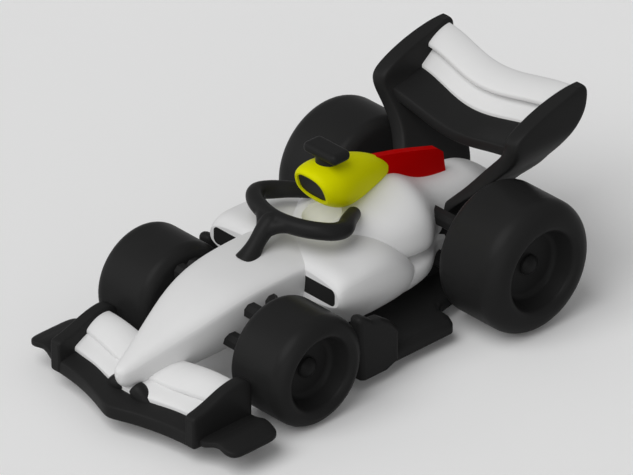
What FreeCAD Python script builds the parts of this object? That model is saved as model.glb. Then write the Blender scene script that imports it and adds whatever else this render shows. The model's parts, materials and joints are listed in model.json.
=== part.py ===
import FreeCAD, Part
import math
import os
from FreeCAD import Vector

# Toy open wheel racing car, millimetres. X points forward, Y to the car's left, Z up.
# The origin lies on the ground under the middle of the overall length and width.

# Stance: axles, wheels and ground
FRONT_OVERHANG = 22.3
WHEELBASE = 38.4
REAR_OVERHANG = 15.8
FRONT_WHEEL_RADIUS = 8.1
FRONT_WHEEL_WIDTH = 10.3
FRONT_HALF_TRACK = 18.65
FRONT_SHOULDER = 2.2
FRONT_RECESS_RADIUS = 4.5
REAR_WHEEL_RADIUS = 9.9
REAR_WHEEL_WIDTH = 11.4
REAR_HALF_TRACK = 22.1
REAR_SHOULDER = 3.0
REAR_RECESS_RADIUS = 5.1
RECESS_DEPTH = 3.4
RECESS_RIM_FILLET = 1.0
RECESS_FOOT_FILLET = 0.9
INNER_SHOULDER = 1.6

# Axle pegs and their fit in the wheels
PEG_RADIUS = 1.1
PEG_HEAD_RADIUS = 1.5
PEG_HEAD_EDGE = 0.3
PEG_HEAD_DOME = 0.8
BORE_CLEARANCE = 0.08
SIDE_CLEARANCE = 0.2

# Floor and bargeboards
FLOOR_BOTTOM = 1.9
FLOOR_THICKNESS = 2.0
FLOOR_HALF_WIDTH = 15.4
FLOOR_EDGE_FILLET = 1.1
FLOOR_CORNER_RADIUS = 1.2
# Corners of the floor's left half, front to rear: place, and y as a share of FLOOR_HALF_WIDTH
FLOOR_OUTLINE = [
    (0.254, 1.0), (0.724, 1.0), (0.746, 0.883), (0.749, 0.773), (0.78, 0.682), (0.884, 0.63),
    (1.259, 0.558),
]
BARGEBOARD_STANDOFF = 0.7
BARGEBOARD_THICKNESS = 2.2
BARGEBOARD_LENGTH = 7.85
BARGEBOARD_HEIGHT = 10.4
BARGEBOARD_SETBACK = 9.05
BARGEBOARD_FILLET = 0.8
# Side view of the bargeboard: share of its length from the front, share of its height
BARGEBOARD_OUTLINE = [
    (0.089, 0.0), (0.025, 0.587), (0.0, 1.0), (0.191, 0.933), (0.382, 0.827), (0.573, 0.808),
    (0.828, 0.673), (1.0, 0.519), (1.0, 0.096), (0.675, 0.0),
]

# How the smooth sections are drawn, and how closely edges are told apart
CURVE_DEGREE = 3
SECTION_POINTS = 24
PLATE_POINTS = 16
PLATE_SQUARENESS = 8.0
TUBE_POINTS = 12
FOIL_STATIONS = (0.0, 0.012, 0.05, 0.15, 0.32, 0.5, 0.68, 0.85, 0.95, 0.988, 1.0)
FOIL_SQUARENESS = 7.0
EDGE_TOLERANCE = 1e-6

# White body
NOSE_HALF_WIDTH = 6.3
NOSE_TOP = 17.45
NOSE_SQUARENESS = 2.2
POD_HALF_SPAN = 13.2
POD_TOP = 17.5
COVER_HALF_WIDTH = 9.5
COVER_TOP = 20.3
TUB_HALF_WIDTH = 9.9
TUB_TOP = 11.0
TUB_SQUARENESS_LOW = 1.8
TUB_SQUARENESS_HIGH = 3.4
COCKPIT_RADIUS = 3.2
COCKPIT_BEHIND_MOUTH = 1.5864
COCKPIT_HEIGHT = 19.9

# Sections of the nose: place as a share of the wheelbase behind the front axle,
# half width as a share of NOSE_HALF_WIDTH, then low, waist and top as shares of NOSE_TOP
NOSE_SECTIONS = [
    (-0.533, 0.048, 0.461, 0.49, 0.513),
    (-0.527, 0.119, 0.413, 0.487, 0.53),
    (-0.517, 0.171, 0.378, 0.487, 0.55),
    (-0.501, 0.216, 0.352, 0.496, 0.57),
    (-0.47, 0.278, 0.332, 0.516, 0.607),
    (-0.418, 0.373, 0.318, 0.559, 0.665),
    (-0.327, 0.548, 0.307, 0.642, 0.768),
    (-0.21, 0.783, 0.309, 0.751, 0.888),
    (-0.092, 0.921, 0.327, 0.837, 0.968),
    (0.038, 0.984, 0.315, 0.883, 0.997),
    (0.181, 1.0, 0.281, 0.894, 1.0),
    (0.324, 1.0, 0.252, 0.894, 0.991),
]

# Sections of the sidepods: place, half width as a share of POD_HALF_SPAN, low, waist and top as
# shares of POD_TOP, squareness below and above the waist
POD_SECTIONS = [
    (0.22, 0.97, 0.646, 0.766, 0.911, 3.0, 3.0),
    (0.227, 0.985, 0.606, 0.766, 0.943, 2.8, 3.2),
    (0.243, 0.994, 0.514, 0.766, 0.971, 2.3, 3.6),
    (0.275, 1.0, 0.366, 0.766, 0.989, 1.9, 4.0),
    (0.322, 1.0, 0.194, 0.766, 0.991, 1.7, 4.0),
    (0.389, 0.992, 0.103, 0.76, 1.0, 1.6, 4.0),
    (0.467, 0.97, 0.091, 0.737, 0.994, 1.6, 3.6),
    (0.535, 0.932, 0.091, 0.697, 0.954, 1.6, 3.2),
    (0.592, 0.879, 0.097, 0.651, 0.874, 1.6, 2.9),
    (0.645, 0.803, 0.114, 0.6, 0.771, 1.7, 2.6),
    (0.689, 0.697, 0.16, 0.549, 0.674, 1.9, 2.4),
    (0.72, 0.561, 0.229, 0.497, 0.589, 2.2, 2.2),
]

# Sections of the engine cover and tail: place, half width as a share of COVER_HALF_WIDTH,
# low, waist and top as shares of COVER_TOP, squareness below and above the waist
COVER_SECTIONS = [
    (0.327, 0.316, 0.64, 0.739, 0.847, 2.2, 2.2),
    (0.368, 0.484, 0.567, 0.729, 0.882, 2.2, 2.3),
    (0.428, 0.621, 0.517, 0.714, 0.906, 2.2, 2.4),
    (0.493, 0.768, 0.483, 0.695, 0.926, 2.2, 2.5),
    (0.572, 0.905, 0.468, 0.685, 0.951, 2.2, 2.5),
    (0.663, 0.989, 0.463, 0.67, 0.98, 2.2, 2.5),
    (0.741, 1.0, 0.463, 0.655, 1.0, 2.2, 2.5),
    (0.785, 0.937, 0.453, 0.635, 0.985, 2.2, 2.4),
    (0.824, 0.8, 0.433, 0.611, 0.946, 2.2, 2.3),
    (0.866, 0.642, 0.404, 0.586, 0.894, 2.2, 2.2),
    (0.915, 0.516, 0.365, 0.562, 0.847, 2.2, 2.2),
    (0.983, 0.474, 0.325, 0.537, 0.813, 2.2, 2.3),
    (1.066, 0.484, 0.315, 0.532, 0.798, 2.2, 2.5),
    (1.145, 0.484, 0.325, 0.532, 0.793, 2.2, 2.5),
    (1.21, 0.474, 0.345, 0.522, 0.739, 2.2, 2.4),
    (1.262, 0.432, 0.365, 0.502, 0.66, 2.2, 2.3),
    (1.306, 0.347, 0.384, 0.473, 0.562, 2.2, 2.2),
]

# Sections of the low tub between floor and engine cover: place, half width as a share of
# TUB_HALF_WIDTH, low, waist and top as shares of TUB_TOP
TUB_SECTIONS = [
    (0.337, 0.657, 0.236, 0.727, 0.955),
    (0.493, 0.929, 0.236, 0.8, 1.0),
    (0.637, 1.0, 0.255, 0.818, 1.0),
    (0.728, 0.96, 0.273, 0.827, 0.991),
    (0.785, 0.889, 0.273, 0.827, 0.982),
    (0.822, 0.778, 0.273, 0.818, 0.973),
    (0.863, 0.626, 0.273, 0.809, 0.964),
    (0.923, 0.495, 0.273, 0.8, 0.955),
    (1.04, 0.444, 0.273, 0.782, 0.945),
    (1.158, 0.424, 0.291, 0.745, 0.909),
]

# Sidepod inlets
INLET_HALF_SPAN = 12.0
INLET_BOTTOM = 12.3
INLET_TOP = 14.9
INLET_DEPTH = 0.8
INLET_CORNER = 0.8

# Airbox, camera and fin
AIRBOX_HALF_WIDTH = 4.1
AIRBOX_TOP = 26.5
AIRBOX_SQUARENESS = 2.3
# Sections of the airbox: place, half width as a share of AIRBOX_HALF_WIDTH, low, waist and top
# as shares of AIRBOX_TOP, forward lean
AIRBOX_SECTIONS = [
    (0.404, 0.768, 0.789, 0.857, 0.958, 0.35),
    (0.41, 0.866, 0.774, 0.857, 0.975, 0.33),
    (0.434, 0.963, 0.751, 0.853, 0.991, 0.28),
    (0.483, 1.0, 0.721, 0.845, 1.0, 0.15),
    (0.551, 0.829, 0.702, 0.834, 0.987, 0.0),
    (0.618, 0.634, 0.702, 0.83, 0.958, 0.0),
    (0.681, 0.451, 0.713, 0.826, 0.921, 0.0),
    (0.733, 0.305, 0.728, 0.811, 0.872, 0.0),
    (0.764, 0.159, 0.743, 0.792, 0.826, 0.0),
]
INTAKE_HALF_WIDTH = 2.65
INTAKE_BOTTOM = 21.4
INTAKE_TOP = 25.1
INTAKE_SQUARENESS = 2.8
INTAKE_DEPTH = 1.4
INTAKE_INSET = 0.3
INTAKE_STATIONS = (0.0, 0.3, 0.7, 1.0)
CAMERA_HALF_WIDTH = 3.05
CAMERA_LENGTH = 2.9
CAMERA_THICKNESS = 1.7
CAMERA_TOP = 28.3
CAMERA_FILLET = 0.7
CAMERA_BEHIND_MOUTH = 2.8864
CAMERA_NECK = 1.9
FIN_THICKNESS = 1.2
# Side view of the fin: place, and height as a share of AIRBOX_TOP
FIN_OUTLINE = [
    (0.624, 0.921), (0.824, 0.849), (0.923, 0.806), (1.012, 0.764), (1.038, 0.732), (1.059, 0.547),
    (0.624, 0.547),
]

# Halo
HALO_TUBE_RADIUS = 1.2
HALO_HALF_WIDTH = 7.5
HALO_HEIGHT = 21.0
# Middle line of the hoop's left half and of the pillar: place, y and z as shares of
# HALO_HALF_WIDTH and HALO_HEIGHT, and thickness as a share of HALO_TUBE_RADIUS
HALO_LINE = [
    (0.22, 0.0, 1.007, 1), (0.23, 0.347, 1.002, 1), (0.253, 0.667, 1.005, 1),
    (0.288, 0.907, 0.998, 1), (0.332, 1.0, 0.979, 1), (0.379, 0.92, 0.95, 1),
    (0.439, 0.72, 0.924, 1), (0.509, 0.52, 0.886, 1),
]
PILLAR_LINE = [
    (0.236, 0.0, 1.005, 0.85), (0.202, 0.0, 0.998, 0.85), (0.165, 0.0, 0.95, 0.85),
    (0.132, 0.0, 0.886, 0.95), (0.105, 0.0, 0.829, 1.15), (0.082, 0.0, 0.771, 1.4),
]

# Front wing
FRONT_WING_BOTTOM = 2.6
FRONT_PLATE_HALF_SPAN = 14.35
FRONT_PLATE_THICKNESS = 2.0
FRONT_PLATE_SETBACK = 2.6
FRONT_PLATE_LENGTH = 10.86
FRONT_PLATE_HEIGHT = 7.2
FRONT_PLANE_THICKNESS = 2.1
FRONT_FLAP_THICKNESS = 0.8
CANARD_HALF_SPAN = 21.4
CANARD_THICKNESS = 1.2
CANARD_TIP_THICKNESS = 0.7
CANARD_TAPER_POWER = 4
PYLON_RADIUS = 0.95
PYLON_HALF_SPACING = 2.8
PYLON_SETBACK = 4.3
PYLON_TOP = 7.4
PYLON_LEAN_FORWARD = 0.25
PYLON_LEAN_IN = 0.12
# Upright sections of the endplate: share of its length, bottom and top as shares of its height,
# thickness as a share of FRONT_PLATE_THICKNESS
FRONT_PLATE_SECTIONS = [
    (0.0, 0.056, 0.611, 0.65), (0.009, 0.021, 0.667, 0.9), (0.046, 0.0, 0.701, 1.0),
    (0.134, 0.0, 0.722, 1.0), (0.216, 0.0, 0.757, 1.0), (0.318, 0.0, 0.806, 1.0),
    (0.41, 0.0, 0.861, 1.0), (0.52, 0.0, 0.924, 1.0), (0.649, 0.0, 0.979, 1.0),
    (0.778, 0.0, 1.007, 1.0), (0.87, 0.0, 1.0, 1.0), (0.944, 0.0, 0.944, 1.0),
    (0.981, 0.021, 0.889, 0.9), (1.0, 0.056, 0.833, 0.65),
]
# Tops of the wing elements: y as a share of the half span inside the endplates, then front, middle
# and rear as places behind the tip with heights as shares of FRONT_PLATE_HEIGHT
FRONT_PLANE_ROWS = [
    (0.0, ((-0.005, 0.632), (0.078, 0.681), (0.177, 0.736))),
    (0.09, ((0.007, 0.639), (0.087, 0.681), (0.186, 0.736))),
    (0.225, ((0.036, 0.646), (0.119, 0.688), (0.209, 0.736))),
    (0.375, ((0.065, 0.646), (0.146, 0.688), (0.235, 0.736))),
    (0.539, ((0.092, 0.639), (0.173, 0.688), (0.262, 0.736))),
    (0.719, ((0.112, 0.639), (0.191, 0.688), (0.285, 0.736))),
    (0.869, ((0.121, 0.639), (0.204, 0.688), (0.294, 0.736))),
    (1.0, ((0.126, 0.639), (0.209, 0.688), (0.298, 0.736))),
]
LOWER_FLAP_ROWS = [
    (0.0, ((0.152, 0.799), (0.209, 0.889), (0.271, 0.965))),
    (0.18, ((0.164, 0.799), (0.222, 0.889), (0.294, 0.965))),
    (0.36, ((0.188, 0.792), (0.244, 0.882), (0.321, 0.965))),
    (0.539, ((0.222, 0.778), (0.271, 0.868), (0.339, 0.951))),
    (0.719, ((0.24, 0.778), (0.294, 0.875), (0.357, 0.965))),
    (0.869, ((0.244, 0.812), (0.303, 0.91), (0.365, 1.007))),
    (1.0, ((0.242, 0.84), (0.303, 0.938), (0.365, 1.035))),
]
UPPER_FLAP_ROWS = [
    (0.0, ((0.262, 1.014), (0.379, 1.146), (0.496, 1.132))),
    (0.15, ((0.271, 1.014), (0.388, 1.153), (0.504, 1.139))),
    (0.345, ((0.285, 1.014), (0.397, 1.188), (0.513, 1.181))),
    (0.524, ((0.307, 1.021), (0.41, 1.229), (0.518, 1.243))),
    (0.719, ((0.334, 1.028), (0.428, 1.243), (0.527, 1.271))),
    (0.869, ((0.339, 1.062), (0.437, 1.25), (0.536, 1.25))),
    (1.0, ((0.343, 1.097), (0.442, 1.25), (0.54, 1.236))),
]
# Sections of the canard: share of its span, front and rear as places behind the tip, height
CANARD_ROWS = [
    (0.0, 0.173, 0.612, 0.507), (0.13, 0.17, 0.608, 0.507), (0.255, 0.168, 0.603, 0.514),
    (0.366, 0.164, 0.599, 0.556), (0.478, 0.159, 0.594, 0.625), (0.59, 0.157, 0.59, 0.66),
    (0.714, 0.159, 0.576, 0.653), (0.839, 0.177, 0.545, 0.632), (0.938, 0.209, 0.504, 0.618),
    (1.0, 0.262, 0.442, 0.611),
]

# Rear wing
REAR_PLATE_HALF_SPAN = 14.4
REAR_PLATE_THICKNESS = 2.6
REAR_PLATE_CLEARANCE = 0.23
REAR_PLATE_KNEE = 0.7
REAR_WING_TOP = 30.0
REAR_PLANE_THICKNESS = 1.9
REAR_FLAP_THICKNESS = 0.75
REAR_WING_DIP = 1.2
REAR_PLANE_DIP = 1.9
REAR_WING_BOW = 1.6
# Level sections of the endplate: height from the floor to the wing's top, front and rear as places
# ahead of the tail, y and thickness as shares of their full sizes. Up to the knee, y is a share of
# the room inside the rear wheels.
REAR_PLATE_SECTIONS = [
    (0.0, 1.472, 0.459, 0.305, 0.692), (0.1, 1.37, 0.383, 0.305, 0.692),
    (0.195, 1.275, 0.345, 0.305, 0.692), (0.287, 1.193, 0.32, 0.305, 0.692),
    (0.341, 1.149, 0.301, 0.313, 0.731), (0.383, 1.111, 0.275, 0.37, 0.808),
    (0.425, 1.06, 0.237, 0.447, 0.885), (0.471, 0.997, 0.212, 0.534, 1.0),
    (0.521, 0.934, 0.206, 0.615, 1.154), (0.579, 0.889, 0.206, 0.702, 1.192),
    (0.64, 0.864, 0.206, 0.809, 1.269), (0.697, 0.864, 0.193, 0.905, 1.192),
    (0.747, 0.877, 0.149, 0.969, 1.135), (0.793, 0.889, 0.085, 0.992, 1.077),
    (0.839, 0.883, 0.028, 0.996, 1.038), (0.881, 0.782, 0.003, 1.0, 1.0),
    (0.927, 0.604, -0.003, 1.0, 1.0), (0.964, 0.396, -0.002, 1.0, 0.962),
    (0.989, 0.193, 0.009, 1.0, 0.846), (1.0, 0.104, 0.028, 1.0, 0.538),
]
# Rows of the rear wing elements across the car, and each element's front, middle and rear at its
# ends: place ahead of the tail, height, and share of the bow
REAR_WING_STATIONS = (-1.0, -0.85, -0.68, -0.5, -0.32, -0.16, 0.0, 0.16, 0.32, 0.5, 0.68, 0.85, 1.0)
REAR_PLANE_LINE = [
    (0.794, 0.798, 0.0), (0.585, 0.808, 0.5), (0.377, 0.832, 1.0),
]
REAR_LOWER_LINE = [
    (0.415, 0.838, 1.0), (0.332, 0.868, 1.0), (0.25, 0.898, 1.0),
]
REAR_UPPER_LINE = [
    (0.326, 0.932, 1.0), (0.193, 0.972, 1.0), (0.047, 0.985, 1.0),
]

# Suspension
ARM_WIDTH = 2.2
ARM_HEIGHT = 2.2
ARM_CHAMFER = 0.6
BOSS_RADIUS = 2.3
# Suspension bars: place at the car's middle and at the wheel, ahead of the axle, and height, all as
# shares of the axle's height
FRONT_ARMS = [
    (0.512, 0.512, 1.185), (0.167, 0.167, 1.648), (-0.784, -0.105, 1.642),
]
REAR_ARMS = [
    (0.439, 0.439, 1.379), (0.419, 0.419, 0.687),
]

# Places that follow from the sizes above
OVERALL_LENGTH = FRONT_OVERHANG + WHEELBASE + REAR_OVERHANG
FRONT_X = OVERALL_LENGTH / 2
REAR_X = -OVERALL_LENGTH / 2
FRONT_AXLE_X = FRONT_X - FRONT_OVERHANG
REAR_AXLE_X = REAR_X + REAR_OVERHANG
FLOOR_TOP = FLOOR_BOTTOM + FLOOR_THICKNESS


def between_axles(share):
    """X of a place between the axles, 0 at the front axle and 1 at the rear one."""
    return FRONT_AXLE_X - share * WHEELBASE


def behind_tip(share):
    """X of a place ahead of the front axle, 0 at the car's front and 1 at the axle."""
    return FRONT_X - share * FRONT_OVERHANG


def ahead_of_tail(share):
    """X of a place around the rear axle, 0 at the car's rear and 1 at the axle."""
    return REAR_X + share * REAR_OVERHANG


POD_FRONT_X = between_axles(POD_SECTIONS[0][0])
MOUTH_X = between_axles(AIRBOX_SECTIONS[0][0])


def add(name, shape):
    """Write one piece as parts/NAME.step."""
    assert shape.isValid(), name
    os.makedirs("parts", exist_ok=True)
    shape.exportStep("parts/" + name + ".step")
    print(name, len(shape.Solids), "solids", round(shape.Volume, 2), "mm3", len(shape.Faces), "faces")


def add_pair(name, shape):
    """Write a piece of the left side and its copy on the right."""
    add(name + "_left", shape)
    add(name + "_right", mirrored(shape))


def one_solid(shape):
    """The largest solid of a cut or a fuse."""
    return max(shape.Solids, key=lambda solid: solid.Volume)


def outermost(shape):
    """The solid of a cut that lies furthest to the left."""
    return max(shape.Solids, key=lambda solid: solid.BoundBox.YMax)


def mirrored(shape):
    """The same piece on the car's other side."""
    return shape.mirror(Vector(0, 0, 0), Vector(0, 1, 0))


def skin(rows):
    """A closed solid around rows of control points, with a flat cap at each end."""
    around = len(rows[0])
    spans = len(rows) - CURVE_DEGREE
    end_knot = [CURVE_DEGREE + 1]
    surface = Part.BSplineSurface()
    surface.buildFromPolesMultsKnots(
        rows, end_knot + [1] * (spans - 1) + end_knot, [1] * (around + 1),
        list(range(spans + 1)), list(range(around + 1)), False, True, CURVE_DEGREE, CURVE_DEGREE)
    faces = [surface.toShape()]
    for end in (0, spans):
        faces.append(Part.Face(Part.Wire([surface.uIso(end).toShape()])))
    shell = Part.Compound(faces)
    shell.sewShape()
    solid = Part.Solid(shell.Shells[0])
    return solid if solid.Volume > 0 else Part.Solid(shell.Shells[0].reversed())


def oval(angle, squareness):
    """Point of a superellipse of half sizes 1, at an angle from its first axis."""
    c = math.cos(angle)
    s = math.sin(angle)
    power = 2 / squareness
    return math.copysign(abs(c) ** power, c), math.copysign(abs(s) ** power, s)


def section(x, half_width, low, waist, high, square_low, square_high, lean=0.0):
    """Control points of an upright section, with its own squareness below and above the waist."""
    points = []
    for i in range(SECTION_POINTS):
        above = i < SECTION_POINTS / 2
        across, up = oval(2 * math.pi * i / SECTION_POINTS, square_high if above else square_low)
        rise = up * (high - waist if above else waist - low)
        points.append(Vector(x + lean * rise, across * half_width, waist + rise))
    return points


def foil(y, line, thickness):
    """Control points of a wing section at one y, whose top follows a curve through three (x, z) places."""
    (x0, z0), (x1, z1), (x2, z2) = line
    places = [(t, 1) for t in FOIL_STATIONS] + [(t, -1) for t in reversed(FOIL_STATIONS[1:-1])]
    points = []
    for t, side in places:
        a = 2 * (t - 0.5) * (t - 1)
        b = 4 * t * (1 - t)
        c = 2 * t * (t - 0.5)
        half = thickness / 2 * (1 - abs(2 * t - 1) ** FOIL_SQUARENESS) ** (1 / FOIL_SQUARENESS)
        top = a * z0 + b * z1 + c * z2
        points.append(Vector(a * x0 + b * x1 + c * x2, y, top - thickness / 2 + side * half))
    return points


def plate_ring(middle, half_length, half_thickness):
    """Control points of a flat section with rounded corners through a plate that stands along the car."""
    points = []
    for i in range(PLATE_POINTS):
        along, across = oval(2 * math.pi * i / PLATE_POINTS, PLATE_SQUARENESS)
        points.append(middle + half_length * along + Vector(0, across * half_thickness, 0))
    return points


def polygon_prism(points, direction):
    """A prism on a closed outline of points."""
    wire = Part.makePolygon(points + [points[0]])
    return Part.Face(wire).extrude(direction)


def fillet_edges(shape, radius, picks):
    """Round the edges for which picks(edge) is true."""
    edges = [edge for edge in shape.Edges if picks(edge)]
    return shape.makeFillet(radius, edges)


# Wheels and pegs

def wheel(axle_x, radius, width, outer, shoulder, recess_radius):
    """One wheel on the left side, with its dished outer face, bored for its peg."""
    inner = outer - width
    disc = outer - RECESS_DEPTH
    bore = PEG_RADIUS + BORE_CLEARANCE
    rim = recess_radius + RECESS_RIM_FILLET
    outline = [
        (bore, inner), (radius, inner), (radius, outer),
        (rim, outer), (recess_radius, disc), (bore, disc),
    ]
    points = [Vector(axle_x + r, y, radius) for r, y in outline]
    face = Part.Face(Part.makePolygon(points + [points[0]]))
    solid = face.revolve(Vector(axle_x, 0, radius), Vector(0, 1, 0), 360)
    solid = Part.Solid(solid) if solid.ShapeType != "Solid" else solid

    def circle_at(edge, circle_radius, y):
        curve = edge.Curve
        if not isinstance(curve, Part.Circle):
            return False
        return (abs(curve.Radius - circle_radius) < EDGE_TOLERANCE
                and abs(curve.Center.y - y) < EDGE_TOLERANCE)

    solid = fillet_edges(solid, shoulder, lambda e: circle_at(e, radius, outer))
    solid = fillet_edges(solid, INNER_SHOULDER, lambda e: circle_at(e, radius, inner))
    solid = fillet_edges(solid, RECESS_RIM_FILLET, lambda e: circle_at(e, rim, outer))
    return fillet_edges(solid, RECESS_FOOT_FILLET, lambda e: circle_at(e, recess_radius, disc))


def peg(axle_x, axle_z, outer, width):
    """Axle peg on the left side: a collar, a shank through the wheel and a domed head."""
    head = outer - RECESS_DEPTH + SIDE_CLEARANCE
    collar = outer - width - SIDE_CLEARANCE
    across = Vector(0, 1, 0)
    start = Vector(axle_x, 0, axle_z)
    foot = Part.makeCylinder(BOSS_RADIUS, collar, start, across)
    shank = Part.makeCylinder(PEG_RADIUS, head, start, across)
    edge = Part.makeCylinder(PEG_HEAD_RADIUS, PEG_HEAD_EDGE, Vector(axle_x, head, axle_z), across)
    dome_radius = (PEG_HEAD_RADIUS ** 2 + PEG_HEAD_DOME ** 2) / (2 * PEG_HEAD_DOME)
    dome_top = head + PEG_HEAD_EDGE + PEG_HEAD_DOME
    ball = Part.makeSphere(dome_radius, Vector(axle_x, dome_top - dome_radius, axle_z))
    keep = Part.makeCylinder(PEG_HEAD_RADIUS, PEG_HEAD_DOME,
                             Vector(axle_x, head + PEG_HEAD_EDGE, axle_z), across)
    return shank.fuse([foot, edge, ball.common(keep)]).removeSplitter()


# White body

def nose():
    """Nose cone and monocoque, from the tip back into the sidepods."""
    return skin([
        section(between_axles(place), width * NOSE_HALF_WIDTH,
                low * NOSE_TOP, waist * NOSE_TOP, top * NOSE_TOP, NOSE_SQUARENESS, NOSE_SQUARENESS)
        for place, width, low, waist, top in NOSE_SECTIONS])


def sidepods():
    """Both sidepods as one wide shell, undercut below, closing in towards the tail."""
    return skin([
        section(between_axles(place), width * POD_HALF_SPAN,
                low * POD_TOP, waist * POD_TOP, top * POD_TOP, square_low, square_high)
        for place, width, low, waist, top, square_low, square_high in POD_SECTIONS])


def engine_cover():
    """Bulging cover behind the cockpit, running out into the tail."""
    return skin([
        section(between_axles(place), width * COVER_HALF_WIDTH,
                low * COVER_TOP, waist * COVER_TOP, top * COVER_TOP, square_low, square_high)
        for place, width, low, waist, top, square_low, square_high in COVER_SECTIONS])


def tub():
    """Low shell on the floor, beneath the sidepods and the cover."""
    return skin([
        section(between_axles(place), width * TUB_HALF_WIDTH,
                low * TUB_TOP, waist * TUB_TOP, top * TUB_TOP, TUB_SQUARENESS_LOW, TUB_SQUARENESS_HIGH)
        for place, width, low, waist, top in TUB_SECTIONS])


def inlet(nose_solid):
    """Black panel of the left sidepod's inlet, flush with the pod's front."""
    height = INLET_TOP - INLET_BOTTOM
    panel = Part.makeBox(INLET_DEPTH, INLET_HALF_SPAN, height,
                         Vector(POD_FRONT_X - INLET_DEPTH, 0, INLET_BOTTOM))
    corners = [edge for edge in panel.Edges
               if abs(edge.Length - INLET_DEPTH) < EDGE_TOLERANCE
               and edge.BoundBox.YMin > INLET_HALF_SPAN / 2]
    return one_solid(panel.makeFillet(INLET_CORNER, corners).cut(nose_solid))


def white_body(nose_solid, cuts):
    """Nose, sidepods, cover and tub in one moulding, less the cockpit and the given pieces."""
    shell = nose_solid.fuse([sidepods(), engine_cover(), tub()])
    cockpit = Part.makeSphere(COCKPIT_RADIUS, Vector(MOUTH_X - COCKPIT_BEHIND_MOUTH, 0, COCKPIT_HEIGHT))
    under = Part.makeBox(OVERALL_LENGTH, 2 * FLOOR_HALF_WIDTH, FLOOR_TOP,
                         Vector(REAR_X, -FLOOR_HALF_WIDTH, 0))
    return one_solid(shell.cut([cockpit, under] + cuts))


# Airbox, camera and fin

def airbox():
    """Airbox behind the cockpit, running out to a narrow end above the engine cover."""
    return skin([
        section(between_axles(place), width * AIRBOX_HALF_WIDTH,
                low * AIRBOX_TOP, waist * AIRBOX_TOP, top * AIRBOX_TOP,
                AIRBOX_SQUARENESS, AIRBOX_SQUARENESS, lean)
        for place, width, low, waist, top, lean in AIRBOX_SECTIONS])


def intake(depth, reach):
    """Oval plug in the airbox's mouth, from depth inside its front to reach ahead of it."""
    waist, lean = AIRBOX_SECTIONS[0][3], AIRBOX_SECTIONS[0][5]
    return skin([section(MOUTH_X - depth + share * (depth + reach), INTAKE_HALF_WIDTH, INTAKE_BOTTOM,
                         waist * AIRBOX_TOP, INTAKE_TOP, INTAKE_SQUARENESS, INTAKE_SQUARENESS, lean)
                 for share in INTAKE_STATIONS])


def camera_pod():
    """Rounded bar across the car on a short neck."""
    x = MOUTH_X - CAMERA_BEHIND_MOUTH
    bar = Part.makeBox(CAMERA_LENGTH, 2 * CAMERA_HALF_WIDTH, CAMERA_THICKNESS,
                       Vector(x - CAMERA_LENGTH / 2, -CAMERA_HALF_WIDTH, CAMERA_TOP - CAMERA_THICKNESS))
    bar = bar.makeFillet(CAMERA_FILLET, bar.Edges)
    foot = CAMERA_TOP - CAMERA_THICKNESS / 2
    neck = Part.makeBox(CAMERA_NECK, CAMERA_NECK, foot - COVER_TOP,
                        Vector(x - CAMERA_NECK / 2, -CAMERA_NECK / 2, COVER_TOP))
    return bar.fuse(neck)


def fin():
    """Upright blade from the airbox's rear back to above the tail."""
    points = [Vector(between_axles(place), -FIN_THICKNESS / 2, height * AIRBOX_TOP)
              for place, height in FIN_OUTLINE]
    return polygon_prism(points, Vector(0, FIN_THICKNESS, 0))


# Halo

def tube(line):
    """A round tube along a smooth line of (point, radius) stations."""
    swell = 3 / (2 + math.cos(2 * math.pi / TUBE_POINTS))
    rings = []
    for i, (point, radius) in enumerate(line):
        before = line[max(i - 1, 0)][0]
        after = line[min(i + 1, len(line) - 1)][0]
        along = (after - before).normalize()
        side = along.cross(Vector(0, 0, 1)).normalize()
        up = side.cross(along)
        rings.append([point + (side * math.cos(angle) + up * math.sin(angle)) * (radius * swell)
                      for angle in (2 * math.pi * k / TUBE_POINTS for k in range(TUBE_POINTS))])
    return skin(rings)


def halo_stations(rows, side):
    """Points and tube radii of some rows of the halo's line, on one side."""
    return [(Vector(between_axles(place), side * out * HALO_HALF_WIDTH, height * HALO_HEIGHT),
             thick * HALO_TUBE_RADIUS) for place, out, height, thick in rows]


def halo():
    """Hoop over the cockpit with its front pillar, whose foot widens."""
    hoop = tube(halo_stations(reversed(HALO_LINE[1:]), -1) + halo_stations(HALO_LINE, 1))
    return hoop.fuse(tube(halo_stations(PILLAR_LINE, 1)))


# Floor

def floor():
    """Flat floor with a rounded upper edge and notched sides ahead of the rear wheels."""
    half = [(between_axles(place), width * FLOOR_HALF_WIDTH) for place, width in FLOOR_OUTLINE]
    outline = half + [(x, -y) for x, y in reversed(half)]
    plate = polygon_prism([Vector(x, y, FLOOR_BOTTOM) for x, y in outline], Vector(0, 0, FLOOR_THICKNESS))
    half_way = FLOOR_THICKNESS / 2
    plate = fillet_edges(plate, FLOOR_CORNER_RADIUS, lambda e: e.BoundBox.ZLength > half_way)
    return fillet_edges(plate, FLOOR_EDGE_FILLET, lambda e: e.BoundBox.ZMin > FLOOR_TOP - half_way)


def bargeboard(floor_solid):
    """Left upright panel at the floor's front corner, with a dip in its top edge."""
    outer = FLOOR_HALF_WIDTH + BARGEBOARD_STANDOFF
    inner = outer - BARGEBOARD_THICKNESS
    front = FRONT_AXLE_X - BARGEBOARD_SETBACK
    points = [Vector(front - place * BARGEBOARD_LENGTH, inner, FLOOR_BOTTOM + height * BARGEBOARD_HEIGHT)
              for place, height in BARGEBOARD_OUTLINE]
    board = polygon_prism(points, Vector(0, BARGEBOARD_THICKNESS, 0))
    rear = front - BARGEBOARD_LENGTH

    def crosses(edge):
        return edge.BoundBox.YLength > BARGEBOARD_THICKNESS / 2

    board = fillet_edges(board, BARGEBOARD_FILLET, lambda e: crosses(e) and e.BoundBox.ZMin > FLOOR_TOP)
    board = fillet_edges(board, BARGEBOARD_FILLET,
                         lambda e: not crosses(e) and e.BoundBox.ZMax > FLOOR_TOP
                         and e.BoundBox.XMax > rear + BARGEBOARD_FILLET)
    return one_solid(board.cut(floor_solid))


# Front wing

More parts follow.
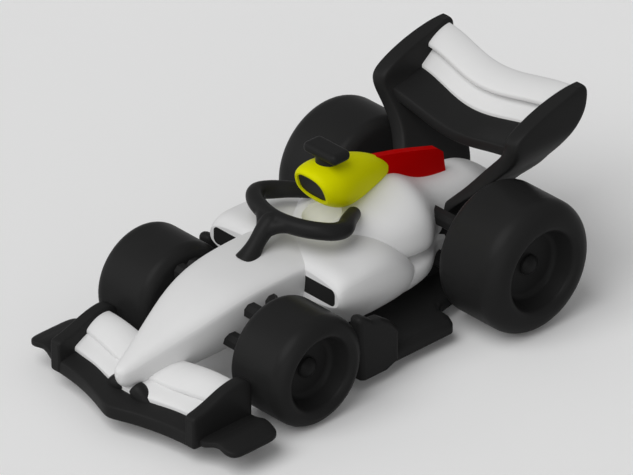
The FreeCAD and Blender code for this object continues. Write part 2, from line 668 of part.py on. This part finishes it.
def front_plate():
    """Left front endplate: an upright panel with a curved top and rounded edges."""
    front = FRONT_X - FRONT_PLATE_SETBACK
    rings = []
    for place, low, top, thick in FRONT_PLATE_SECTIONS:
        middle = Vector(front - place * FRONT_PLATE_LENGTH,
                        FRONT_PLATE_HALF_SPAN - FRONT_PLATE_THICKNESS / 2,
                        FRONT_WING_BOTTOM + (low + top) / 2 * FRONT_PLATE_HEIGHT)
        half_height = Vector(0, 0, (top - low) / 2 * FRONT_PLATE_HEIGHT)
        rings.append(plate_ring(middle, half_height, thick * FRONT_PLATE_THICKNESS / 2))
    return skin(rings)


def front_element(rows, thickness):
    """A front wing element across the car; rows give the left half from the middle outwards."""
    end = FRONT_PLATE_HALF_SPAN - FRONT_PLATE_THICKNESS / 2
    both = [(-share, line) for share, line in reversed(rows[1:])] + rows
    rings = []
    for share, line in both:
        places = [(behind_tip(back), height * FRONT_PLATE_HEIGHT) for back, height in line]
        rings.append(foil(share * end, places, thickness))
    return skin(rings)


def canard():
    """Left blade outside the front endplate, with a wave across its span."""
    root = FRONT_PLATE_HALF_SPAN - FRONT_PLATE_THICKNESS / 2
    rings = []
    for share, front, rear, height in CANARD_ROWS:
        middle = (front + rear) / 2
        z = height * FRONT_PLATE_HEIGHT
        taper = (CANARD_TIP_THICKNESS - CANARD_THICKNESS) * share ** CANARD_TAPER_POWER
        thickness = CANARD_THICKNESS + taper
        line = [(behind_tip(place), z + thickness / 2) for place in (front, middle, rear)]
        rings.append(foil(root + share * (CANARD_HALF_SPAN - root), line, thickness))
    return skin(rings)


def pylon():
    """Left post that carries the nose on the front wing, leaning forward and in."""
    foot = Vector(FRONT_X - PYLON_SETBACK, PYLON_HALF_SPACING, FRONT_WING_BOTTOM)
    return Part.makeCylinder(PYLON_RADIUS, PYLON_TOP - FRONT_WING_BOTTOM, foot,
                             Vector(PYLON_LEAN_FORWARD, -PYLON_LEAN_IN, 1))


# Rear wing

def rear_plate_y(out):
    """Y of the endplate's middle: inside the wheels up to the knee, then out to the wing's end."""
    end = REAR_PLATE_HALF_SPAN - REAR_PLATE_THICKNESS / 2
    room = REAR_HALF_TRACK - REAR_WHEEL_WIDTH - REAR_PLATE_THICKNESS / 2 - REAR_PLATE_CLEARANCE
    if out < REAR_PLATE_KNEE:
        return out / REAR_PLATE_KNEE * room
    return room + (out - REAR_PLATE_KNEE) / (1 - REAR_PLATE_KNEE) * (end - room)


def rear_plate():
    """Left rear endplate, whose foot leans in and stands on the floor beside the tail."""
    rings = []
    for height, front, rear, out, thick in REAR_PLATE_SECTIONS:
        x_front = ahead_of_tail(front)
        x_rear = ahead_of_tail(rear)
        middle = Vector((x_front + x_rear) / 2, rear_plate_y(out),
                        FLOOR_TOP + height * (REAR_WING_TOP - FLOOR_TOP))
        half_length = Vector((x_front - x_rear) / 2, 0, 0)
        rings.append(plate_ring(middle, half_length, thick * REAR_PLATE_THICKNESS / 2))
    return skin(rings)


def rear_element(line, thickness, front_dip):
    """A rear wing element between the endplates, lower and further forward in the middle."""
    end = REAR_PLATE_HALF_SPAN - REAR_PLATE_THICKNESS / 2
    rings = []
    for share in REAR_WING_STATIONS:
        sag = (1 + math.cos(math.pi * share)) / 2
        dips = (front_dip, (front_dip + REAR_WING_DIP) / 2, REAR_WING_DIP)
        places = [(ahead_of_tail(place) + sag * bow * REAR_WING_BOW, height * REAR_WING_TOP - sag * dip)
                  for (place, height, bow), dip in zip(line, dips)]
        rings.append(foil(share * end, places, thickness))
    return skin(rings)


# Suspension and axles

def arm(start, end):
    """A straight bar with chamfered edges from start to end, roughly along Y."""
    w = ARM_WIDTH / 2
    h = ARM_HEIGHT / 2
    c = ARM_CHAMFER
    corners = [
        (-w, -h + c), (-w, h - c), (-w + c, h), (w - c, h),
        (w, h - c), (w, -h + c), (w - c, -h), (-w + c, -h),
    ]
    return polygon_prism([start + Vector(x, 0, z) for x, z in corners], end - start)


def arms(axle_x, axle_z, outer, rows, others):
    """Left suspension bars from the car's middle to just inside the wheel, cut off by the others."""
    bars = []
    for inner_place, outer_place, height in rows:
        z = axle_z * height
        start = Vector(axle_x + inner_place * axle_z, 0, z)
        end = Vector(axle_x + outer_place * axle_z, outer, z)
        bars.append(outermost(arm(start, end).cut(others)))
    return bars


# The whole car: each piece is cut off by those that it stands against

nose_solid = nose()
inlet_solid = inlet(nose_solid)
rear_plate_solid = rear_plate()
rear_plates = [rear_plate_solid, mirrored(rear_plate_solid)]
body = white_body(nose_solid, [inlet_solid, mirrored(inlet_solid)] + rear_plates)
floor_solid = floor()
board = bargeboard(floor_solid)
airbox_solid = one_solid(airbox().cut(body))
mouth = one_solid(intake(INTAKE_DEPTH, INTAKE_INSET).common(airbox_solid))
airbox_solid = one_solid(airbox_solid.cut(intake(INTAKE_DEPTH, CAMERA_LENGTH)))
mouth = mouth.cut(intake(INTAKE_INSET, CAMERA_LENGTH))
plate = front_plate()
plates = [plate, mirrored(plate)]
plane = one_solid(front_element(FRONT_PLANE_ROWS, FRONT_PLANE_THICKNESS).cut(plates))
lower_flap = one_solid(front_element(LOWER_FLAP_ROWS, FRONT_FLAP_THICKNESS).cut([plane, body] + plates))
upper_flap = front_element(UPPER_FLAP_ROWS, FRONT_FLAP_THICKNESS).cut([body] + plates)
upper_flap = outermost(upper_flap.cut([plane, lower_flap]))
post = pylon().cut([plane, lower_flap, upper_flap, body])
post = max(post.Solids, key=lambda solid: solid.BoundBox.ZMax)
rear_plane = rear_element(REAR_PLANE_LINE, REAR_PLANE_THICKNESS, REAR_PLANE_DIP)
rear_lower = rear_element(REAR_LOWER_LINE, REAR_FLAP_THICKNESS, REAR_WING_DIP)
rear_upper = rear_element(REAR_UPPER_LINE, REAR_FLAP_THICKNESS, REAR_WING_DIP)

add("body", body)
add_pair("sidepod_inlet", inlet_solid)
add("floor", floor_solid)
add_pair("bargeboard", board)
add("airbox", airbox_solid)
add("airbox_intake", mouth)
add("camera_pod", one_solid(camera_pod().cut([airbox_solid, mouth, body])))
add("fin", one_solid(fin().cut([airbox_solid, body])))
add("halo", one_solid(halo().cut([airbox_solid, body])))
add("front_wing_plane", plane)
add("front_flap_lower", lower_flap)
add_pair("front_flap_upper", upper_flap)
add_pair("front_endplate", plate)
add_pair("canard", one_solid(canard().cut(plate)))
add_pair("front_pylon", post)
add_pair("rear_endplate", rear_plate_solid)
add("rear_wing_plane", one_solid(rear_plane.cut(rear_plates)))
add("rear_flap_lower", one_solid(rear_lower.cut(rear_plates + [rear_plane])))
add("rear_flap_upper", one_solid(rear_upper.cut(rear_plates + [rear_plane, rear_lower])))

front_inner = FRONT_HALF_TRACK - FRONT_WHEEL_WIDTH - SIDE_CLEARANCE
rear_inner = REAR_HALF_TRACK - REAR_WHEEL_WIDTH - SIDE_CLEARANCE
front_bars = arms(FRONT_AXLE_X, FRONT_WHEEL_RADIUS, front_inner, FRONT_ARMS, [body])
rear_blockers = [body, floor_solid, rear_plate_solid]
rear_bars = arms(REAR_AXLE_X, REAR_WHEEL_RADIUS, rear_inner, REAR_ARMS, rear_blockers)
for name, bar in zip(("front_arm_lower", "front_arm_upper", "front_arm_rear"), front_bars):
    add_pair(name, bar)
for name, bar in zip(("rear_arm_upper", "rear_arm_lower"), rear_bars):
    add_pair(name, bar)
front_peg = peg(FRONT_AXLE_X, FRONT_WHEEL_RADIUS, FRONT_HALF_TRACK, FRONT_WHEEL_WIDTH)
rear_peg = peg(REAR_AXLE_X, REAR_WHEEL_RADIUS, REAR_HALF_TRACK, REAR_WHEEL_WIDTH)
add_pair("front_axle_peg", outermost(front_peg.cut(body)))
add_pair("rear_axle_peg", outermost(rear_peg.cut([body, rear_plate_solid])))
add_pair("front_wheel", wheel(FRONT_AXLE_X, FRONT_WHEEL_RADIUS, FRONT_WHEEL_WIDTH, FRONT_HALF_TRACK,
                              FRONT_SHOULDER, FRONT_RECESS_RADIUS))
add_pair("rear_wheel", wheel(REAR_AXLE_X, REAR_WHEEL_RADIUS, REAR_WHEEL_WIDTH, REAR_HALF_TRACK,
                             REAR_SHOULDER, REAR_RECESS_RADIUS))
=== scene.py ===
import json
import math

import bmesh
import bpy
from mathutils import Matrix, Vector


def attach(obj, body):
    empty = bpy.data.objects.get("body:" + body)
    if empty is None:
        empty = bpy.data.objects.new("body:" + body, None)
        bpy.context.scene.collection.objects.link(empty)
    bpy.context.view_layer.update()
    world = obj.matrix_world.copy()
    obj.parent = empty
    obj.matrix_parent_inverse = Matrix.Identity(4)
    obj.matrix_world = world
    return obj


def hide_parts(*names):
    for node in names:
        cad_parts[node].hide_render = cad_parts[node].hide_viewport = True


# Toy open wheel racing car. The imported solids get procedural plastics. The halo, the camera bar, the
# front wing's posts and the canards are shown by pieces with softer forms. The car stands on a pale
# floor in soft light, seen by the camera of the photograph.

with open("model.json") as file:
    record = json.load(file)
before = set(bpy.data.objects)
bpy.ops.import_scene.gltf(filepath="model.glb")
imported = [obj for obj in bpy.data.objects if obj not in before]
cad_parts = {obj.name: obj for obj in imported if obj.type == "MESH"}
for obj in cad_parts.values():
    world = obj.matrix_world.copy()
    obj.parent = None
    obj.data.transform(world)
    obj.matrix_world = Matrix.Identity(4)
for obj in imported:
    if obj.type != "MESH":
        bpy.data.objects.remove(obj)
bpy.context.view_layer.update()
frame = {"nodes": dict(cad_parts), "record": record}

MM = 0.001
UP = Vector((0.0, 0.0, 1.0))
LEFT = Vector((0.0, 1.0, 0.0))
SIDES = (("left", 1), ("right", -1))

# Camera: its place, its line of sight and its turn about that line
CAMERA_PLACE = Vector((0.67975, 0.71293, 0.60167))
CAMERA_LOOK = Vector((-0.593133, -0.621645, -0.511616))
CAMERA_ROLL = math.radians(0.238)
CAMERA_LENS = 479.04
CAMERA_SENSOR = 36.0
CAMERA_NEAR = 0.05
CAMERA_FAR = 20.0

# Light: the way to each sun, its strength and its breadth; the fills cast no shadow
KEY_FROM = Vector((0.60, 0.03, 0.80))
KEY_STRENGTH = 1.62
FILL_FROM = (Vector((0.62, 0.76, 0.18)), Vector((0.62, -0.76, 0.18)))
FILL_STRENGTH = 0.48
SUN_BREADTH = math.radians(50.0)

# Sky: what lights the car, and the white that the camera sees
WHITE = (1.0, 1.0, 1.0, 1.0)
SKY_STRENGTH = 0.27
SEEN_STRENGTH = 1.0

# Floor: its colour for the light that it gives back, and its paler colour for the camera
FLOOR_SIDE = 12.0
FLOOR_COLOR = (0.62, 0.62, 0.62, 1.0)
FLOOR_SEEN = (0.96, 0.96, 0.96, 1.0)
FLOOR_ROUGHNESS = 0.9
FLOOR_SPECULAR = 0.1

# Plastics: colour, darker shade, lowest and highest roughness, and specular level
BLACK_PLASTIC = ((0.0185, 0.0185, 0.0185), (0.0165, 0.0165, 0.0165), 0.34, 0.42, 0.07)
PLASTICS = {
    "white_plastic": ((0.77, 0.77, 0.77), (0.74, 0.74, 0.74), 0.36, 0.46, 0.20),
    "black_plastic": BLACK_PLASTIC,
    "tyre_plastic": BLACK_PLASTIC,
    "yellow_plastic": ((0.70, 0.70, 0.0), (0.66, 0.66, 0.0), 0.40, 0.50, 0.03),
    "red_plastic": ((0.50, 0.0, 0.0), (0.46, 0.0, 0.0), 0.40, 0.50, 0.03),
}

# Scale and detail of the noise behind the colour, the gloss and the skin of a plastic
DRIFT_NOISE = (90.0, 3.0)
GLOSS_NOISE = (420.0, 4.0)
SKIN_NOISE = (2600.0, 2.0)
SHADE_UNTIL = 0.3
COLOR_FROM = 0.7
SKIN_STRENGTH = 0.05
SKIN_DEPTH = 0.00002

# Tubes: rings between two rows, points round a ring, and how upright a line has to run before its
# rings are set out from the car's left instead of from its own side
LINE_STEPS = 6
TUBE_SIDES = 28
STEEP = 0.9

# Melting: voxel in metres, share of each smoothing step, and steps for the halo and the camera bar
MELT_VOXEL = 0.00012
SOFTENING_SHARE = 0.5
HALO_SOFTENING = 26
BAR_SOFTENING = 4

# Middle lines of the halo: x, y, z and radius in millimetres. The hoop goes from its front to the
# left, and is mirrored to the right.
HOOP = [
    (7.35, 0.0, 21.1, 1.25), (6.95, 2.5, 21.05, 1.25), (6.1, 4.9, 21.05, 1.25),
    (4.8, 6.7, 20.95, 1.25), (3.2, 7.5, 20.6, 1.27), (1.1, 7.15, 20.1, 1.3),
    (-1.0, 5.75, 19.88, 1.18), (-3.6, 4.1, 19.3, 1.05),
]
PILLAR = [
    (7.2, 0.0, 21.0, 1.2), (8.1, 0.0, 20.9, 1.4), (9.4, 0.0, 20.0, 1.3), (10.7, 0.0, 18.65, 1.2),
    (11.7, 0.0, 17.45, 1.45), (12.5, 0.0, 16.4, 1.9),
]
WEB = [(9.4, 0.2, 20.0, 0.95), (8.1, 1.4, 20.75, 1.0), (6.9, 3.0, 20.98, 1.0)]

# Camera bar in millimetres: lowest and highest corner, rounding and its steps, and the middle line
# of its neck with the radius
BAR_LOW = Vector((-4.0, -3.2, 27.05))
BAR_HIGH = Vector((-0.65, 3.2, 28.65))
BAR_ROUNDING = 0.7
BAR_ROUNDING_STEPS = 6
BAR_ROUNDING_PROFILE = 0.5
BAR_NECK = [(-2.3, 0.0, 24.9, 1.7), (-2.3, 0.0, 26.3, 1.55), (-2.3, 0.0, 27.6, 1.6)]

# Left post of the front wing, from the main plane up to the nose: x, y, z and radius in millimetres
POST = [
    (33.9, 3.65, 3.9, 0.85), (33.9, 3.5, 4.4, 0.92), (33.9, 3.1, 4.9, 1.06),
    (33.95, 2.45, 5.35, 1.2), (34.0, 1.75, 5.75, 1.25), (34.0, 1.15, 6.1, 1.1),
]

# Left canard's sections in millimetres, from its root to its tip: y, x of its front and of its rear,
# z of its middle, and thickness
CANARD = [
    (13.6, 34.55, 24.8, 3.45, 1.3), (14.4, 34.6, 24.85, 3.47, 1.3), (15.2, 34.55, 24.85, 3.58, 1.28),
    (15.9, 34.4, 24.9, 3.8, 1.25), (16.6, 34.25, 24.95, 4.05, 1.22), (17.4, 34.15, 25.05, 4.17, 1.2),
    (18.2, 34.2, 25.15, 4.09, 1.2), (18.9, 34.25, 25.3, 3.96, 1.2), (19.6, 34.15, 25.55, 3.86, 1.15),
    (20.15, 33.8, 26.0, 3.8, 1.0), (20.5, 33.2, 26.8, 3.76, 0.7), (20.6, 32.7, 27.4, 3.75, 0.35),
]
CANARD_SIDES = 44
CANARD_SQUARENESS = 5.0


def new_material(name):
    """A material, its node tree and its shader."""
    material = bpy.data.materials.new(name)
    material.use_nodes = True
    tree = material.node_tree
    return material, tree, tree.nodes["Principled BSDF"]


def add_noise(tree, coords, scale, detail):
    """Noise that stays with the piece when it moves."""
    noise = tree.nodes.new("ShaderNodeTexNoise")
    noise.inputs["Scale"].default_value = scale
    noise.inputs["Detail"].default_value = detail
    tree.links.new(coords.outputs["Object"], noise.inputs["Vector"])
    return noise


def plastic(name, color, shade, rough_low, rough_high, specular):
    """Moulded plastic: a faint drift of colour, uneven gloss and a fine skin."""
    material, tree, shader = new_material(name)
    coords = tree.nodes.new("ShaderNodeTexCoord")

    drift = add_noise(tree, coords, *DRIFT_NOISE)
    ramp = tree.nodes.new("ShaderNodeValToRGB")
    low, high = ramp.color_ramp.elements
    low.position, low.color = SHADE_UNTIL, (*shade, 1.0)
    high.position, high.color = COLOR_FROM, (*color, 1.0)
    tree.links.new(drift.outputs["Fac"], ramp.inputs["Fac"])
    tree.links.new(ramp.outputs["Color"], shader.inputs["Base Color"])

    gloss = add_noise(tree, coords, *GLOSS_NOISE)
    spread = tree.nodes.new("ShaderNodeMapRange")
    spread.inputs["To Min"].default_value = rough_low
    spread.inputs["To Max"].default_value = rough_high
    tree.links.new(gloss.outputs["Fac"], spread.inputs["Value"])
    tree.links.new(spread.outputs["Result"], shader.inputs["Roughness"])

    skin = add_noise(tree, coords, *SKIN_NOISE)
    relief = tree.nodes.new("ShaderNodeBump")
    relief.inputs["Strength"].default_value = SKIN_STRENGTH
    relief.inputs["Distance"].default_value = SKIN_DEPTH
    tree.links.new(skin.outputs["Fac"], relief.inputs["Height"])
    tree.links.new(relief.outputs["Normal"], shader.inputs["Normal"])

    shader.inputs["Specular IOR Level"].default_value = specular
    return material


MATERIALS = {name: plastic(name, *look) for name, look in PLASTICS.items()}

for part in frame["record"]["subparts"]:
    node = frame["nodes"][part["node"]]
    node.data.materials.clear()
    node.data.materials.append(MATERIALS[part["material_slot"]])


def add_object(name, data):
    """An object in the scene with the given mesh, lamp or camera."""
    thing = bpy.data.objects.new(name, data)
    bpy.context.collection.objects.link(thing)
    return thing


def add_piece(name, work, node, softening=0):
    """A smooth black piece on the chassis that stands for a node, melted together if softened."""
    mesh = bpy.data.meshes.new(name)
    work.to_mesh(mesh)
    work.free()
    mesh.shade_smooth()
    mesh.materials.append(MATERIALS["black_plastic"])
    piece = add_object(name, mesh)
    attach(piece, "chassis")
    if softening:
        melt = piece.modifiers.new("melt", "REMESH")
        melt.mode = "VOXEL"
        melt.voxel_size = MELT_VOXEL
        melt.use_smooth_shade = True
        soften = piece.modifiers.new("soften", "SMOOTH")
        soften.factor = SOFTENING_SHARE
        soften.iterations = softening
    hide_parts(node)


def angles(count):
    """Equal steps round a ring."""
    return [2 * math.pi * k / count for k in range(count)]


def close_rings(work, rings):
    """Join rings of points into a closed skin."""
    rings = [[work.verts.new(point) for point in ring] for ring in rings]
    count = len(rings[0])
    for low, high in zip(rings, rings[1:]):
        for k in range(count):
            after = (k + 1) % count
            work.faces.new((low[k], low[after], high[after], high[k]))
    work.faces.new(reversed(rings[0]))
    work.faces.new(rings[-1])
    bmesh.ops.recalc_face_normals(work, faces=work.faces[:])


def smooth_rows(rows):
    """Rows along a Catmull-Rom line through the given ones, turned from millimetres to metres."""
    smooth = []
    for i in range(len(rows) - 1):
        corners = [rows[max(i - 1, 0)], rows[i], rows[i + 1], rows[min(i + 2, len(rows) - 1)]]
        for step in range(LINE_STEPS):
            t = step / LINE_STEPS
            weights = (-t ** 3 + 2 * t ** 2 - t, 3 * t ** 3 - 5 * t ** 2 + 2,
                       -3 * t ** 3 + 4 * t ** 2 + t, t ** 3 - t ** 2)
            smooth.append([sum(w * c[k] for w, c in zip(weights, corners)) / 2 * MM
                           for k in range(len(rows[0]))])
    smooth.append([value * MM for value in rows[-1]])
    return smooth


def add_tube(work, rows):
    """A closed round tube along a smooth line through (x, y, z, radius) rows."""
    stations = [(Vector((x, y, z)), radius) for x, y, z, radius in smooth_rows(rows)]
    rings = []
    for i, (point, radius) in enumerate(stations):
        before = stations[max(i - 1, 0)][0]
        after = stations[min(i + 1, len(stations) - 1)][0]
        along = (after - before).normalized()
        side = along.cross(UP).normalized() if abs(along.z) < STEEP else LEFT
        side = (side - along * side.dot(along)).normalized()
        up = side.cross(along)
        rings.append([point + (side * math.cos(a) + up * math.sin(a)) * radius
                      for a in angles(TUBE_SIDES)])
    close_rings(work, rings)


def on_side(rows, side):
    """Rows of a tube on the left (1), or mirrored to the right (-1)."""
    return [(x, side * y, z, radius) for x, y, z, radius in rows]


def make_halo():
    """Hoop, pillar and the webs between them, melted together."""
    work = bmesh.new()
    add_tube(work, on_side(HOOP[:0:-1], -1) + HOOP)
    add_tube(work, PILLAR)
    for side in (-1, 1):
        add_tube(work, on_side(WEB, side))
    add_piece("halo_hoop", work, "halo", HALO_SOFTENING)


def make_camera_bar():
    """Rounded bar across the car on a short neck, melted together."""
    work = bmesh.new()
    size = (BAR_HIGH - BAR_LOW) * MM
    middle = (BAR_HIGH + BAR_LOW) / 2 * MM
    place = Matrix.Translation(middle) @ Matrix.Diagonal((*size, 1.0))
    bmesh.ops.create_cube(work, size=1.0, matrix=place)
    bmesh.ops.bevel(work, geom=work.edges[:], offset=BAR_ROUNDING * MM,
                    segments=BAR_ROUNDING_STEPS, profile=BAR_ROUNDING_PROFILE, affect="EDGES")
    add_tube(work, BAR_NECK)
    add_piece("camera_bar", work, "camera_pod", BAR_SOFTENING)


def make_posts():
    """Posts of the front wing, wider where they meet the nose."""
    for name, side in SIDES:
        work = bmesh.new()
        add_tube(work, on_side(POST, side))
        add_piece("wing_post_" + name, work, "front_pylon_" + name)


def squarish(value):
    """A sine or cosine pulled outwards, which makes a circle a rounded square."""
    return math.copysign(abs(value) ** (2 / CANARD_SQUARENESS), value)


def make_canards():
    """Blades outside the front endplates, with a wave across their span."""
    for name, side in SIDES:
        rings = []
        for y, front, rear, z, thickness in smooth_rows(CANARD):
            rings.append([Vector(((front + rear) / 2 + squarish(math.cos(a)) * (front - rear) / 2,
                                  side * y,
                                  z + squarish(math.sin(a)) * thickness / 2))
                          for a in angles(CANARD_SIDES)])
        work = bmesh.new()
        close_rings(work, rings)
        add_piece("canard_blade_" + name, work, "canard_" + name)


def make_floor():
    """Plain floor that keeps the car's shadow and looks paler to the camera."""
    half = FLOOR_SIDE / 2
    corners = [(-half, -half, 0), (half, -half, 0), (half, half, 0), (-half, half, 0)]
    mesh = bpy.data.meshes.new("ground")
    mesh.from_pydata(corners, [], [(0, 1, 2, 3)])
    floor = add_object("ground", mesh)
    material, tree, shader = new_material("ground")
    path = tree.nodes.new("ShaderNodeLightPath")
    tone = tree.nodes.new("ShaderNodeMix")
    tone.data_type = "RGBA"
    tone.inputs["A"].default_value = FLOOR_COLOR
    tone.inputs["B"].default_value = FLOOR_SEEN
    tree.links.new(path.outputs["Is Camera Ray"], tone.inputs["Factor"])
    tree.links.new(tone.outputs["Result"], shader.inputs["Base Color"])
    shader.inputs["Roughness"].default_value = FLOOR_ROUGHNESS
    shader.inputs["Specular IOR Level"].default_value = FLOOR_SPECULAR
    mesh.materials.append(material)


def make_sky():
    """Even light from all round, which the camera sees as white."""
    world = bpy.data.worlds.new("sky")
    bpy.context.scene.world = world
    world.use_nodes = True
    tree = world.node_tree
    light = tree.nodes["Background"]
    light.inputs["Color"].default_value = WHITE
    light.inputs["Strength"].default_value = SKY_STRENGTH
    seen = tree.nodes.new("ShaderNodeBackground")
    seen.inputs["Color"].default_value = WHITE
    seen.inputs["Strength"].default_value = SEEN_STRENGTH
    path = tree.nodes.new("ShaderNodeLightPath")
    mix = tree.nodes.new("ShaderNodeMixShader")
    tree.links.new(path.outputs["Is Camera Ray"], mix.inputs["Fac"])
    tree.links.new(light.outputs["Background"], mix.inputs[1])
    tree.links.new(seen.outputs["Background"], mix.inputs[2])
    tree.links.new(mix.outputs["Shader"], tree.nodes["World Output"].inputs["Surface"])


def make_sun(name, direction, strength, shadow):
    """A soft sun from the given direction."""
    light = bpy.data.lights.new(name, "SUN")
    light.energy = strength
    light.angle = SUN_BREADTH
    light.use_shadow = shadow
    lamp = add_object(name, light)
    lamp.rotation_euler = direction.normalized().to_track_quat("Z", "Y").to_euler()


def make_lights():
    """Key light from ahead and above, and a fill from each side."""
    make_sun("key", KEY_FROM, KEY_STRENGTH, True)
    for number, direction in enumerate(FILL_FROM):
        make_sun("fill_%d" % number, direction, FILL_STRENGTH, False)


def make_camera():
    """The photograph's camera."""
    data = bpy.data.cameras.new("camera")
    data.lens = CAMERA_LENS
    data.sensor_width = CAMERA_SENSOR
    data.sensor_fit = "HORIZONTAL"
    data.clip_start = CAMERA_NEAR
    data.clip_end = CAMERA_FAR
    camera = add_object("camera", data)
    turn = CAMERA_LOOK.normalized().to_track_quat("-Z", "Y").to_matrix().to_4x4()
    turn = turn @ Matrix.Rotation(CAMERA_ROLL, 4, "Z")
    camera.matrix_world = Matrix.Translation(CAMERA_PLACE) @ turn
    bpy.context.scene.camera = camera


make_halo()
make_camera_bar()
make_posts()
make_canards()
make_floor()
make_sky()
make_lights()
make_camera()
bpy.context.scene.view_settings.view_transform = "Standard"

bpy.context.view_layer.update()
